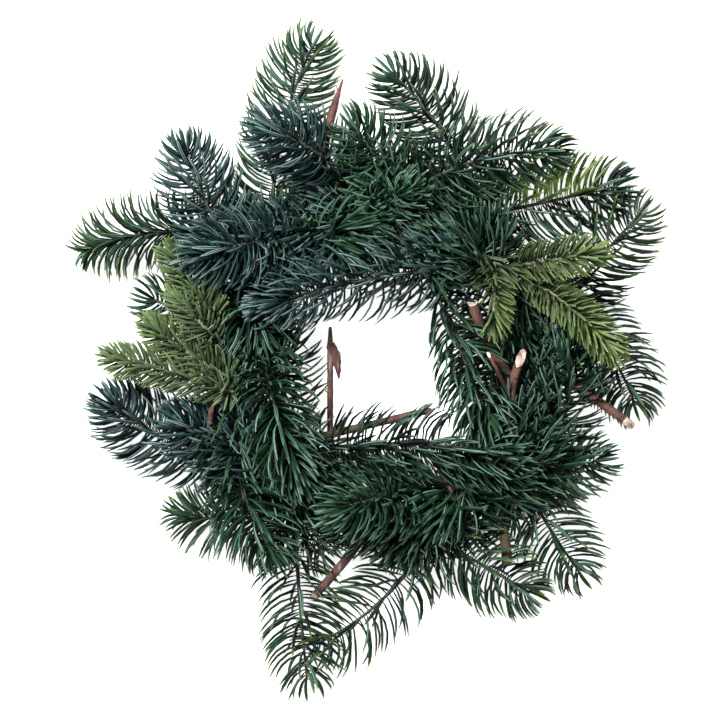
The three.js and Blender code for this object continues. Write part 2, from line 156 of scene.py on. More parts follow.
# name, place on the ring, heading, turn, length, height, (share, radius) pairs along it
TWIGS = (
    ("twig_hole_left", -110, 90, 0, 96, 20, ((0, 1.7), (0.93, 1.6), (1, 0.8))),
    ("twig_hole_bottom", -147, 13.5, 0, 94, 30, ((0, 2.1), (0.97, 2), (1, 1.2))),
    ("twig_hole_right", -10, 136, -30, 59, 44, ((0, 2.9), (1, 2.6))),
    ("twig_fork", -30, 98, -30, 50, 46, ((0, 2.6), (1, 2.3))),
    ("twig_right", 4, -28, -10, 65, 24, ((0, 2.6), (1, 2.3))),
    ("twig_bottom_right", -46, -63, -26, 48, 24, ((0, 2.9), (1, 2.7))),
    ("twig_bottom", -92, -125, -8, 54, 16, ((0, 2.5), (1, 2.2))),
    ("twig_top", 115, 92, -22, 83, 20, ((0, 2.5), (0.8, 2.3), (1, 0.4))),
    ("twig_left", 150, -118, 20, 71, 40, ((0, 1.7), (1, 1.5))),
    ("twig_thin", -60, 118, 0, 18, 56, ((0, 0.9), (1, 0.8))),
)

# Twigs with a side stem: share along the twig, heading, turn, length, (share, radius) pairs
SIDE_TWIGS = {
    "twig_fork": (0.55, 118, 0, 27, ((0, 1.2), (1, 0.9))),
    "twig_hole_left": (0.95, -64, -24, 19, ((0, 1.4), (0.3, 2.3), (0.55, 1.6), (0.75, 0.9), (1, 0.3))),
}

# Twigs with a sawn end: how far its slant runs back for each millimetre of height, and the share
# from which the bark is off
SAWN = {
    "twig_hole_right": (0.6, 1), "twig_fork": (2.0, 1), "twig_right": (1.2, 0.9), "twig_left": (0.8, 1),
    "twig_bottom": (0.8, 1), "twig_bottom_right": (0.3, 1), "twig_thin": (0.3, 1),
}
# Splinters of a torn end: share along the twig, turn from its heading, length
TORN = {"twig_hole_bottom": ((0.95, 26, 8), (0.93, -22, 6), (0.97, 4, 8)), "twig_top": ((0.86, 14, 9),)}
SPLINTER_RADII = ((0, 1.1), (1, 0.2))
# The twig whose side stem is a flap of torn bark: its height and breadth as shares, and its lumps
FLAPPED = "twig_hole_left"
FLAP_HEIGHT = 0.4
FLAP_BREADTH = 1.4
FLAP_LUMPS = 3
# The bud on the same twig: share along it, turn from its heading, length, (share, radius) pairs
BUD = (0.655, 60, 3.6, ((0, 0.8), (0.4, 1.3), (0.8, 0.9), (1, 0.2)))
# Twigs with pale streaks in their bark, and those with olive bark and the share from which it is brown
STREAKED = ("twig_hole_left", "twig_bottom")
OLIVE_UP_TO = {"twig_hole_bottom": 0.7, "twig_bottom_right": 0.9}

# Side shoots near a spray's root: millimetres from the root, turn from its heading, length; then
# their (share, radius) pairs and their fall for each millimetre
SHOOTS = ((4, 44, 26), (14, 38, 24))
SHOOT_RADII = ((0, 1.2), (1, 0.7))
SHOOT_FALL = 0.12
SHOOT_POINTS = 5

# How the needles of a spray look where they aren't the usual: share of the usual number, how much
# lighter they are, and how yellow-green. The lightness is partly painted shade and light: most sprays that
# lie under others are darker and some on top lighter. The yellow-green is partly young growth and partly
# painted light shining through the needles
USUAL_LOOK = (1, 0, 0.03)
LOOKS = {
    "spruce_top_tall": (0.6, 0.3, 0.16), "spruce_top_middle": (0.85, 0.7, 0.08),
    "spruce_top_right": (0.68, 0, 0.1), "spruce_upper_right": (0.7, -0.15, 0.1),
    "spruce_right_arched": (0.7, -0.2, 0.8), "spruce_right_rising": (0.5, -0.1, 0.16),
    "spruce_right_falling": (0.58, -0.1, 0.1), "spruce_right_low": (0.58, -0.05, 0.03),
    "spruce_right_under": (0.5, 0, 0.3), "spruce_right_upright": (1, -0.4, 0.03),
    "spruce_right_filler": (1, -0.5, 0.03), "spruce_hole_right": (0.75, 0.2, 0.03),
    "spruce_inner_right": (1, -0.2, 0.03), "spruce_hole_bottom": (1.3, -0.4, 0.03),
    "spruce_bottom_front": (1, 0.6, 0.03), "spruce_bottom_filler": (0.5, -0.4, 0.03),
    "spruce_bottom_right": (0.62, 0, 0.14), "spruce_bottom_corner": (0.5, -0.1, 0.12),
    "spruce_bottom_left": (0.36, -0.1, 0.16), "spruce_bottom_tall": (0.42, -0.1, 0.16),
    "spruce_left_foot": (0.58, 0.1, 0.14), "spruce_left_hanging": (0.8, 0.2, 0.03),
    "spruce_left_low": (0.9, -0.2, 0.03), "spruce_left_front": (1, 0.15, 0.03),
    "spruce_hole_left": (0.75, -0.2, 0.03), "spruce_hole_top": (0.8, 0, 0.03),
    "spruce_upper_left": (1, 0.1, 0.03), "spruce_top_front": (1, 0.4, 0.03),
    "spruce_left_rising": (0.85, 0.3, 0.08), "spruce_left_far": (0.6, -0.1, 0.16),
    "spruce_left_under": (0.6, 0, 0.03), "spruce_top_filler": (0.45, -0.3, 0.03),
    "spruce_left_ring": (1, -0.3, 0.03), "spruce_bottom_ring": (1, -0.35, 0.03),
    "spruce_top_ring": (0.6, -0.3, 0.03), "spruce_low_ring": (1, -0.3, 0.03),
    "fir_right": (1, 0.15, 0.23), "fir_left": (1, 0.15, 0.15),
}
# The side of a spray that alone is yellow-green, painted light shining through its needles from behind, as a
# direction in plan; the cosines of the angle to it between which it sets in round the stem; and the shares
# along the stem where it is gone and still full
BACKLIT_SIDE = {"spruce_right_arched": (0, 1)}
BACKLIT_SETS_IN = (-0.2, 0.5)
BACKLIT_FADES = (1.0, 0.7)
# Share of the needles kept where a spray faces the hole
FACING_HOLE = {"spruce_hole_top": 0.8, "spruce_hole_bottom": 0.36, "spruce_hole_left": 0.6}
# How far the needles of a spray crowd towards its tip: 1 is evenly
USUAL_CROWDING = 1.15
CROWDING = {"spruce_hole_top": 1.9, "spruce_left_low": 1.4}
# How the needles of a spray curl: 1 all of them forward, -1 all of them outward
USUAL_CURL = 0.45
CURL = {
    "spruce_left_far": -0.7, "spruce_left_foot": -0.3, "spruce_right_falling": 0.6, "spruce_hole_right": 0.5,
}

# Stretches of the bare twigs that no needle covers, as shares along them; how far a needle keeps off,
# and the shares along a needle at which that is looked at
IN_SIGHT = {
    "twig_hole_right": (0.8, 1), "twig_fork": (0.7, 1), "twig_thin": (0, 1), "twig_left": (0.9, 1),
    "twig_top": (0.75, 1), "twig_right": (0.62, 1),
}
SIGHT_MARGIN = 0.8
SIGHT_MARKS = np.linspace(0.1, 1, 8)

# How needles stand on a stem: the turn from each to the next, how far flat sprays comb them to both
# sides, and where they start as a share of the stem's radius
GOLDEN_TURN = 137.508
COMBING = 1.5
ROOTED_AT = 0.6
# Random spread of their turn and lean in degrees, and of their length, bend and curl as shares
TURN_SPREAD = 6
LEAN_SPREAD = 2.5
LENGTH_SPREAD = 0.06
BEND_SPREAD = 0.14
CURL_SPREAD = 0.2
WIDTH_RANGE = (0.88, 1.12)
FRESH_RANGE = (0.6, 1.4)
# Needles on top of a stem lean this share less, and those at its tip up to this share less
TOP_LEANS_LESS = 0.15
TIP_LEANS_LESS = 0.7
# How far past the hole's side a needle's point may be, at least and at most; how straight it heads for
# the hole before some are left out; the shortest that it may be cut, as a share of its length; and how
# far above the floor its point stays
PAST_SIDE = (-5, 0.5)
HEADS_FOR_HOLE = 0.2
SHORTEST = 0.5
LOWEST_POINT = 0.6
# How much lighter a spray's needles get from its root to its tip, the share along it where they are as
# light as its look says, and how fresh those at its root are next to those at its tip
LIGHTER_BY = 0.3
LIGHTER_FROM = 0.6
FRESH_AT_ROOT = 0.4

# A needle's half width at shares along it, and its corners: turned a little, and less thick than wide
NEEDLE_AT = np.array([0.0, 0.1, 0.35, 0.6, 0.8, 0.94])
NEEDLE_WIDE = np.array([0.42, 0.68, 0.95, 1.0, 0.85, 0.45])
NEEDLE_CORNERS = np.radians([12, 102, 192, 282])
NEEDLE_THICKNESS = 0.72

# Barks: their step along a stem, the sides round it, and their random lumps as a share of the radius
SPRAY_BARK = (1.2, 8, 0.05)
TWIG_BARK = (1.2, 14, 0.03)
VINE_BARK = (1.6, 20, 0.02)
# The step along a stem where places on it are looked up, the cuts of its curve between two points of
# its axis, and how high its ends are domed as a share of the radius
FINE_STEP = 1.0
CURVE_CUTS = 12
DOME = 0.3
# How slim a spray's bark is next to its axis, as needles hide it
SPRAY_SLIMMER = 0.7
# How much further than its slant goes a sawn end is drawn back, and a share that no stem reaches
SLANT_MARGIN = 2
NEVER = 2.0
# Splinters and the bud: the sides round them, the points of their axis, and the steps along it
SHORT_SIDES = 8
SHORT_POINTS = 5
SHORT_STEPS = 8

# Finishes that the sidebar doesn't show: dark and light bark of three kinds, the dark grain of cut
# wood, and the weathered wood that shows as streaks where bark is torn
SPRAY_BARK_TONES = ((0.012, 0.022, 0.015), (0.060, 0.085, 0.060))
FROND_BARK_TONES = ((0.09, 0.10, 0.05), (0.24, 0.27, 0.16))
OLIVE_BARK_TONES = ((0.020, 0.016, 0.008), (0.11, 0.085, 0.042))
WOOD_GRAIN = (0.48, 0.30, 0.22)
WEATHERED_WOOD = (0.55, 0.48, 0.44)

# The stage: half the floor's side, and the size and place of each light, in metres; then the middle
# and the width of what the camera sees
FLOOR_HALF = 3.0
SKY_COLOUR = (0.95, 0.98, 1, 1)
LIGHTS = {"key": (0.4, (-0.7, 0.8, 1.5)), "fill": (1.6, (1.1, -0.7, 1.3))}
VIEW_CENTRE = (-4.1, -0.5, 30)
VIEW_WIDTH = 374.4
SENSOR_WIDTH = 36

# What a mesh's points hold for its materials, the angle from which an edge is sharp, and how far from
# the first seed those of the fronds, of the twigs and of each next stem's needles are
ATTRIBUTES = ("draw", "share", "fresh")
SHARP_FROM = np.radians(50)
FROND_SEEDS = 500
TWIG_SEEDS = 700
NEEDLE_SEEDS = 1000


@dataclass
class Stem:
    """A stem before it is laid down, and then its axis and radii."""

    name: str
    root: np.ndarray
    heading: float
    turn: float
    length: float
    height: float
    radii: tuple
    step: float
    flatness: float = 0.0
    root_height: float | None = None
    axis: np.ndarray | None = None
    radius: np.ndarray | None = None
    side_stems: list = field(default_factory=list)


class Pile:
    """What already lies in the wreath, as balls along each stem."""

    def __init__(self):
        self.centres = np.empty((0, 3))
        self.radii = np.empty(0)
        self.owners = np.empty(0, dtype=object)

    def add(self, axis, radius, owner):
        """Sets balls along every stretch of an axis, no further apart than the ball step."""
        for start, end, size in zip(axis[:-1], axis[1:], radius[:-1]):
            spots = int(np.ceil(np.linalg.norm(end - start) / BALL_STEP))
            shares = np.arange(spots)[:, None] / spots
            self.centres = np.vstack([self.centres, start + (end - start) * shares])
            self.radii = np.append(self.radii, np.full(spots, size))
            self.owners = np.append(self.owners, np.full(spots, owner, dtype=object))

    def height_over(self, plan, radius, owner):
        """The least height at each place of a plan at which a stem passes over all that lies there.

        A ball of radius b at distance d in plan lifts a stem of radius r to the ball's height
        plus the square root of (r + b + gap) squared less d squared.
        """
        reach = radius[:, None] + self.radii + PILE_GAP
        across = np.linalg.norm(plan[:, None] - self.centres[None, :, :2], axis=2)
        over = self.centres[:, 2] + np.sqrt(np.maximum(reach ** 2 - across ** 2, 0))
        counts = (across < reach) & (self.owners != owner)
        return np.maximum(radius, np.where(counts, over, 0).max(axis=1))


def on_ring(angle):
    """The ring's centre plus its radius times the cosine and sine of the angle."""
    a = np.radians(angle)
    return RING_CENTRE + RING_RADIUS * np.array([np.cos(a), np.sin(a)])


def smoothstep(low, high, x):
    """t squared times (3 - 2 t), where t is how far x has come from low to high, from 0 to 1."""
    t = np.clip((x - low) / (high - low), 0, 1)
    return t * t * (3 - 2 * t)


def vine_axis():
    """Points round the ring, which also circle the ring's centreline as they go."""
    count = round(VINE_TURNS * 2 * np.pi * RING_RADIUS / VINE_STEP)
    turn = VINE_TURNS * np.arange(count + 1) / count
    twist = np.radians(VINE_FIRST_TWIST + VINE_TWIST_PER_TURN * turn)
    out = RING_RADIUS + VINE_ORBIT * np.cos(twist)
    round_ = 2 * np.pi * turn
    return np.stack([RING_CENTRE[0] + out * np.cos(round_), RING_CENTRE[1] + out * np.sin(round_),
                     RING_HEIGHT + VINE_ORBIT * np.sin(twist)], axis=1)


def lay_down(stem, pile):
    """Finds a stem's axis: an even bend in plan, and in height the larger of two curves.

    One rises smoothly from the root to the stem's height and droops with the square of the
    share. The other is a rounded hump over each thing below, which falls off at an even slope.
    """
    count = FINE * max(3, int(stem.length / stem.step + 0.5))
    share = np.arange(count + 1) / count
    heading = np.radians(stem.heading + stem.turn * (np.arange(count) + 0.5) / count)
    steps = stem.length / count * np.stack([np.cos(heading), np.sin(heading)], axis=1)
    plan = stem.root + np.vstack([[0, 0], np.cumsum(steps, axis=0)])
    radius = np.interp(share, *zip(*stem.radii))
    needed = pile.height_over(plan, radius, stem.name)
    low = stem.root_height or 0
    along = stem.length * share
    rise = max(LEAST_RISE, RISE_RATIO * abs(stem.height - low))
    free = low + (stem.height - low) * smoothstep(0, rise, along) - DROOP * stem.height * share ** 2
    away = np.hypot(along[::FINE, None] - along, ROUND) - ROUND
    height = np.maximum(free[::FINE], (needed - SLOPE * away).max(axis=1))
    if stem.root_height is not None:
        height[0] = stem.root_height
    stem.axis = np.column_stack([plan[::FINE], height])
    stem.radius = radius[::FINE]
    pile.add(stem.axis, stem.radius, stem.name)


def grow_side_stem(lead, pile, share, heading, turn, length, radii=None):
    """Lays a side stem that starts inside its leading stem, a share of the way along it."""
    start = lead.axis[int(share * (len(lead.axis) - 1) + 0.5)]
    side = replace(lead, root=start[:2], root_height=start[2], heading=heading, turn=turn, length=length,
                   radii=radii or lead.radii, side_stems=[])
    lay_down(side, pile)
    lead.side_stems.append(side)


@functools.cache
def laid_stems():
    """Every spray, frond and twig by name, laid on the ring and on each other, the lowest first."""
    stems = [
        Stem(name, on_ring(place), heading, turn, length, height, SPRAY_RADII, SPRAY_STEP, flatness)
        for name, place, heading, turn, length, height, flatness, _
        in (*SPRAYS, *(lead for lead, _ in FRONDS))
    ]
    stems += [
        Stem(name, on_ring(place), heading, turn, length, height, radii, TWIG_STEP)
        for name, place, heading, turn, length, height, radii in TWIGS
    ]
    side_rows = {lead[0]: rows for lead, rows in FRONDS}
    side_rows.update({name: [row] for name, row in SIDE_TWIGS.items()})
    pile = Pile()
    axis = vine_axis()
    pile.add(axis, np.full(len(axis), VINE_RADIUS), "vine_ring")
    for stem in sorted(stems, key=lambda s: s.height):
        lay_down(stem, pile)
        for row in side_rows.get(stem.name, ()):
            grow_side_stem(stem, pile, *row)
    return {stem.name: stem for stem in stems}


class Path:
    """A smooth curve through a stem's axis, cut into even steps, with a frame at each point."""

    def __init__(self, axis, radius, spacing):
        """Cubic pieces whose slope at each point is half the way from the one before to the next.

        The path's points are then set at equal arc lengths along them.
        """
        ends = np.vstack([2 * axis[0] - axis[1], axis, 2 * axis[-1] - axis[-2]])
        t = np.linspace(0, 1, CURVE_CUTS, endpoint=False)[None, :, None]
        a, b, c, d = (ends[i:len(ends) - 3 + i, None] for i in range(4))
        curve = 0.5 * (2 * b + (c - a) * t + (2 * a - 5 * b + 4 * c - d) * t ** 2
                       + (3 * b - a - 3 * c + d) * t ** 3)
        curve = np.vstack([curve.reshape(-1, 3), axis[-1:]])
        arc = np.concatenate([[0], np.cumsum(np.linalg.norm(np.diff(curve, axis=0), axis=1))])
        self.length = arc[-1]
        self.share = np.linspace(0, 1, int(self.length / spacing) + 2)
        even = self.share * arc[-1]
        self.points = np.stack([np.interp(even, arc, curve[:, k]) for k in range(3)], axis=1)
        self.radius = np.interp(self.share * (len(radius) - 1), np.arange(len(radius)), radius)
        self.ahead = unit(np.gradient(self.points, axis=0))
        self.side = unit(np.cross([0.0, 0.0, 1.0], self.ahead))
        self.up = np.cross(self.ahead, self.side)

    def at(self, share, values):
        """One of the path's arrays, read between its points."""
        return np.stack([np.interp(share, self.share, values[:, k]) for k in range(values.shape[1])], axis=1)


def unit(v):
    """Each vector divided by its length."""
    return v / np.maximum(np.linalg.norm(v, axis=-1, keepdims=True), 1e-9)


@dataclass
class Skin:
    """A mesh in arrays: points, faces of four and of three, and values at corners and points."""

    points: np.ndarray
    quads: np.ndarray
    triangles: np.ndarray
    quad_uv: np.ndarray
    triangle_uv: np.ndarray
    quad_finish: np.ndarray
    triangle_finish: np.ndarray
    values: dict


def closed_tubes(rings, first, last, along, values, finish=0, bare_from=NEVER, bare_finish=1):
    """Skins of many closed tubes at once, each a grid of rings by sides with a pole at each end.

    rings is (tubes, rings, sides, 3), first and last are (tubes, 3), and along is the share at
    each ring. u counts the sides and v is that share. values are one number for each tube.
    Faces from the share bare_from on have the bare finish.
    """
    tubes, steps, sides, _ = rings.shape
    size = steps * sides + 2
    points = np.concatenate([rings.reshape(tubes, -1, 3), first[:, None], last[:, None]], axis=1)
    offset = size * np.arange(tubes)[:, None, None]
    k, i = np.meshgrid(np.arange(steps - 1), np.arange(sides), indexing="ij")
    k, i = k.ravel(), i.ravel()
    j = (i + 1) % sides
    quads = np.stack([k * sides + i, k * sides + j, (k + 1) * sides + j, (k + 1) * sides + i], axis=1)
    n = np.arange(sides)
    m = (n + 1) % sides
    top = (steps - 1) * sides
    cap = np.concatenate([
        np.stack([np.full(sides, size - 2), m, n], axis=1),
        np.stack([top + n, top + m, np.full(sides, size - 1)], axis=1),
    ])
    v = np.asarray(along, float)
    quad_uv = np.stack([
        np.stack([i, v[k]], 1), np.stack([i + 1, v[k]], 1),
        np.stack([i + 1, v[k + 1]], 1), np.stack([i, v[k + 1]], 1),
    ], axis=1)
    zeros, ones = np.zeros(sides), np.ones(sides)
    low, high = v[0] * ones, v[-1] * ones
    cap_uv = np.concatenate([
        np.stack([np.stack([n + 0.5, zeros], 1), np.stack([n + 1, low], 1), np.stack([n, low], 1)], axis=1),
        np.stack([np.stack([n, high], 1), np.stack([n + 1, high], 1), np.stack([n + 0.5, ones], 1)], axis=1),
    ])
    return Skin(
        points.reshape(-1, 3),
        (quads[None] + offset).reshape(-1, 4),
        (cap[None] + offset).reshape(-1, 3),
        np.tile(quad_uv, (tubes, 1, 1)),
        np.tile(cap_uv, (tubes, 1, 1)),
        np.tile(np.where(v[k] >= bare_from, bare_finish, finish), tubes),
        np.tile(np.where((np.arange(2 * sides) >= sides) & (bare_from <= 1), bare_finish, finish), tubes),
        {name: np.repeat(value, size) for name, value in values.items()},
    )


def stem_skin(path, radius, lumps, finish, flat=1.0, slant=0.0, **bare):
    """A round profile carried along a path, with a dome at the root and a dome or a cut at the end.

    The radius at each point is the given one times one plus lumps, an array of steps by sides,
    and its height is that times flat. A cut end runs back by slant times the height over its foot,
    and the stretch before it is drawn back with it, evenly from nothing.
    """
    sides = lumps.shape[1]
    a = 2 * np.pi * np.arange(sides) / sides
    size = radius[:, None] * (1 + lumps)
    high = np.sin(a) * size * flat
    rings = (path.points[:, None] + path.side[:, None] * (np.cos(a) * size)[..., None]
             + path.up[:, None] * high[..., None])
    first = path.points[0] - DOME * radius[0] * path.ahead[0]
    last = path.points[-1] + DOME * radius[-1] * path.ahead[-1]
    if slant:
        stretch = 2 * slant * radius[-1] + SLANT_MARGIN
        back = np.clip(1 + path.length * (path.share - 1) / stretch, 0, 1)
        rings -= path.ahead[:, None] * (back[:, None] * slant * (high + radius[-1]))[..., None]
        last = rings[-1].mean(axis=0)
    values = {key: np.zeros(1) for key in ATTRIBUTES}
    return closed_tubes(rings[None], first[None], last[None], path.share, values, finish, **bare)


def bark_tube(axis, radius, bark, seed, finish, breadth=1.0, roughness=1.0, **shape):
    """A stem's bark: its radius times breadth, with lumps from a seeded draw times roughness."""
    step, sides, lumpiness = bark
    path = Path(axis, radius, step)
    lumps = np.random.default_rng(seed).normal(0, lumpiness, (len(path.share), sides))
    return stem_skin(path, breadth * path.radius, roughness * lumps, finish, **shape)


def needle_skin(base, way, bend, length, width, draw, share, fresh):
    """Four-sided needles on a gentle arc.

    The arc is the base plus length times (t times way plus 4 h t (1 - t) times bend), and its
    cross-section is a rhomb that swells past the foot and narrows to a point.
    """
    t = NEEDLE_AT[None, :, None]
    arch = np.maximum(np.linalg.norm(bend, axis=1), 1e-6)[:, None, None]
    bow = unit(bend)[:, None]
    reach = length[:, None, None]
    centre = base[:, None] + reach * (t * way[:, None] + 4 * arch * t * (1 - t) * bow)
    tangent = unit(way[:, None] + 4 * arch * (1 - 2 * t) * bow)
    flat = unit(np.cross(way, unit(bend)))[:, None]
    thick = np.cross(tangent, flat)
    half = 0.5 * width[:, None, None, None] * NEEDLE_WIDE[None, :, None, None]
    rings = centre[:, :, None] + half * (
        flat[:, :, None] * np.cos(NEEDLE_CORNERS)[None, None, :, None]
        + NEEDLE_THICKNESS * thick[:, :, None] * np.sin(NEEDLE_CORNERS)[None, None, :, None])
    return closed_tubes(rings, base, base + length[:, None] * way, NEEDLE_AT,
                        {"draw": draw, "share": share, "fresh": fresh})


def side_of_hole(axis):
    """The hole's side that a stem keeps to, as a unit normal and an offset: past it is positive."""
    left, right, low, high = HOLE
    sides = ((np.array([1.0, 0]), left), (np.array([-1.0, 0]), -right),
             (np.array([0, 1.0]), low), (np.array([0, -1.0]), -high))
    return min(sides, key=lambda s: (axis[:, :2] @ s[0] - s[1]).max())


@functools.cache
def spots_in_sight():
    """Points along the bare twigs where they stay in sight, and how far needles keep off in plan."""
    points, keep_off = [], []
    for name, (start, end) in IN_SIGHT.items():
        twig = laid_stems()[name]
        for part in (twig, *twig.side_stems):
            path = Path(part.axis, part.radius, FINE_STEP)
            seen = (path.share >= (start if part is twig else 0)) & (path.share <= end)
            points.append(path.points[seen])
            keep_off.append(path.radius[seen] + SIGHT_MARGIN)
    return np.concatenate(points), np.concatenate(keep_off)


def covers_twig(base, chord):
    """Whether needles pass over a spot in sight, at even marks along each."""
    points, keep_off = spots_in_sight()
    marks = base[:, None] + chord[:, None] * SIGHT_MARKS[:, None]
    across = np.linalg.norm(marks[:, :, None, :2] - points[:, :2], axis=3)
    over = (across < keep_off) & (marks[:, :, None, 2] > points[:, 2])
    return over.any(axis=(1, 2))


def grow_needles(stem, kind, seed):
    """Needles round a stem by the golden turn, each leaning forward from it.

    The angle round the stem is pulled to both sides by flatness times the sine of twice itself.
    near is 0 up to the last stretch of the stem and rises with a square to 1 at its tip, and with
    it the needles get shorter and lean further forward, some of them right along the stem. A needle
    that reaches past the hole's side is cut back to it, and a much shortened one is left out.
    """
    rng = np.random.default_rng(seed)
    path = Path(stem.axis, stem.radius, FINE_STEP)
    openness, lightness, freshness = LOOKS.get(stem.name, USUAL_LOOK)
    count = int((path.length - kind.bare) * kind.per_mm * openness)
    number = np.arange(count)
    covered = 1 - kind.bare / path.length
    spot = (number + rng.uniform(0, 1, count)) / count
    share = 1 - covered * (1 - spot) ** CROWDING.get(stem.name, USUAL_CROWDING)
    near = np.clip(1 - path.length * (1 - share) / kind.last_stretch, 0, 1) ** 2
    angle = np.radians(GOLDEN_TURN * number + rng.normal(0, TURN_SPREAD, count))
    angle -= COMBING * stem.flatness * np.sin(2 * angle)
    above = np.sin(angle)
    lean = kind.root_lean + (kind.tip_lean - kind.root_lean) * near
    lean *= 1 - TOP_LEANS_LESS * np.maximum(above, 0) - TIP_LEANS_LESS * near ** 4 * rng.uniform(0, 1, count)
    lean = np.radians(lean + rng.normal(0, LEAN_SPREAD, count))
    length = kind.length * (1 + (kind.tip_share - 1) * near) * rng.normal(1, LENGTH_SPREAD, count)
    side, up, ahead = (path.at(share, v) for v in (path.side, path.up, path.ahead))
    outward = unit(side * np.cos(angle)[:, None] + up * above[:, None])
    base = path.at(share, path.points)
    base += outward * np.interp(share, path.share, path.radius)[:, None] * ROOTED_AT
    way = ahead * np.cos(lean)[:, None] + outward * np.sin(lean)[:, None]
    bend = outward * np.cos(lean)[:, None] - ahead * np.sin(lean)[:, None]
    curl = CURL.get(stem.name, USUAL_CURL) + rng.normal(0, CURL_SPREAD, count)
    bend = unit(bend + rng.normal(0, BEND_SPREAD, (count, 3))) * (kind.arch * np.clip(curl, -1, 1))[:, None]

    normal, offset = side_of_hole(stem.axis)
    straight = way[:, :2] @ normal
    tip = base + way * length[:, None]
    over = tip[:, :2] @ normal - offset - rng.uniform(*PAST_SIDE, count)
    kept = np.where(over > 0, 1 - over / (np.maximum(straight, 1e-6) * length), 1)
    chosen = rng.uniform(0, 1, count) < FACING_HOLE.get(stem.name, 1)
    tip = base + way * (length * np.clip(kept, SHORTEST, 1))[:, None]
    low, high = (np.array(corner) / MM for corner in CAD_BOX)
    chord = np.clip(tip, low + [0, 0, LOWEST_POINT], high) - base
    stays = (kept > SHORTEST) & ((straight < HEADS_FOR_HOLE) | chosen) & ~covers_twig(base, chord)
    length = np.linalg.norm(chord, axis=1)
    width = kind.width * rng.uniform(*WIDTH_RANGE, count)
    draw = rng.uniform(0, 1, count) + lightness + LIGHTER_BY * (share - LIGHTER_FROM)
    fresh = freshness * (FRESH_AT_ROOT + (1 - FRESH_AT_ROOT) * share) * rng.uniform(*FRESH_RANGE, count)
    # Painted light shining through the needles: only one side of the spray is yellow-green
    if stem.name in BACKLIT_SIDE:
        fresh *= smoothstep(*BACKLIT_SETS_IN, outward[:, :2] @ np.array(BACKLIT_SIDE[stem.name]))
        fresh *= smoothstep(*BACKLIT_FADES, share)
    values = (base, chord / length[:, None], bend, length, width, draw, share, fresh)
    return needle_skin(*(v[stays] for v in values))


@dataclass
class NeedleKind:
    """Size, number and lean of the needles of one conifer, at a stem's root and at its tip."""

    length: float
    width: float
    per_mm: float
    tip_share: float
    root_lean: float
    tip_lean: float
    last_stretch: float
    arch: float
    bare: float


def make_piece(name, skins, materials):
    """Puts skins into one mesh object at the origin, which then stands for the node of that name."""
    firsts = np.cumsum([0] + [len(s.points) for s in skins[:-1]])
    points = np.concatenate([s.points for s in skins]) * MM
    points[:, 2] = np.maximum(points[:, 2], 0)
    quads = np.concatenate([s.quads + first for s, first in zip(skins, firsts)])
    triangles = np.concatenate([s.triangles + first for s, first in zip(skins, firsts)])
    corners = np.concatenate([quads.ravel(), triangles.ravel()])
    starts = np.concatenate([4 * np.arange(len(quads)), 4 * len(quads) + 3 * np.arange(len(triangles))])
    finishes = np.concatenate([s.quad_finish for s in skins] + [s.triangle_finish for s in skins])
    uv = np.concatenate([s.quad_uv.reshape(-1, 2) for s in skins]
                        + [s.triangle_uv.reshape(-1, 2) for s in skins])
    mesh = bpy.data.meshes.new(name)
    mesh.vertices.add(len(points))
    mesh.vertices.foreach_set("co", points.ravel())
    mesh.loops.add(len(corners))
    mesh.loops.foreach_set("vertex_index", corners.astype(np.int32))
    mesh.polygons.add(len(starts))
    mesh.polygons.foreach_set("loop_start", starts.astype(np.int32))
    mesh.polygons.foreach_set("material_index", finishes.astype(np.int32))
    mesh.update(calc_edges=True)
    mesh.uv_layers.new(name="surface").data.foreach_set("uv", uv.ravel())
    for key in ATTRIBUTES:
        values = np.concatenate([s.values[key] for s in skins])
        mesh.attributes.new(key, "FLOAT", "POINT").data.foreach_set("value", values)
    mesh.shade_smooth()
    mesh.set_sharp_from_angle(angle=SHARP_FROM)
    for material in materials:
        mesh.materials.append(material)
    piece = bpy.data.objects.new(name + "_piece", mesh)
    bpy.context.scene.collection.objects.link(piece)
    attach(piece, BODY)
    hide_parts(name)
    return piece


def scaled(colour, share):
    """A colour with each part times a share."""
    return tuple(share * part for part in colour)


class Value:
    """A number in a material. Arithmetic on it adds Math nodes."""

    def __init__(self, tree, socket):
        self.tree = tree
        self.socket = socket

    def _math(self, operation, *values):
        """The result of a new Math node on these values."""
        return self.tree.node("ShaderNodeMath", {"operation": operation}, dict(enumerate(values)))[0]

    def __add__(self, other):
        return self._math("ADD", self, other)

    def __sub__(self, other):
        return self._math("SUBTRACT", self, other)

    def __rsub__(self, other):
        return self._math("SUBTRACT", other, self)

    def __mul__(self, other):
        return self._math("MULTIPLY", self, other)

    def __pow__(self, other):
        return self._math("POWER", self, other)

    __radd__ = __add__
    __rmul__ = __mul__

    def fraction(self):
        """What it has past its whole number."""
        return self._math("FRACT", self)

    def distance(self, other):
        """How far it is from another number."""
        return self._math("ABSOLUTE", self - other)

    def ramp(self, low, high):
        """0 up to low, 1 from high on, and a smooth step between; high may be the smaller one."""
        flip = low > high
        step = self.tree.node(
            "ShaderNodeMapRange", {"interpolation_type": "SMOOTHSTEP", "clamp": True},
            {"Value": self, "From Min": min(low, high), "From Max": max(low, high)})["Result"]
        return 1 - step if flip else step


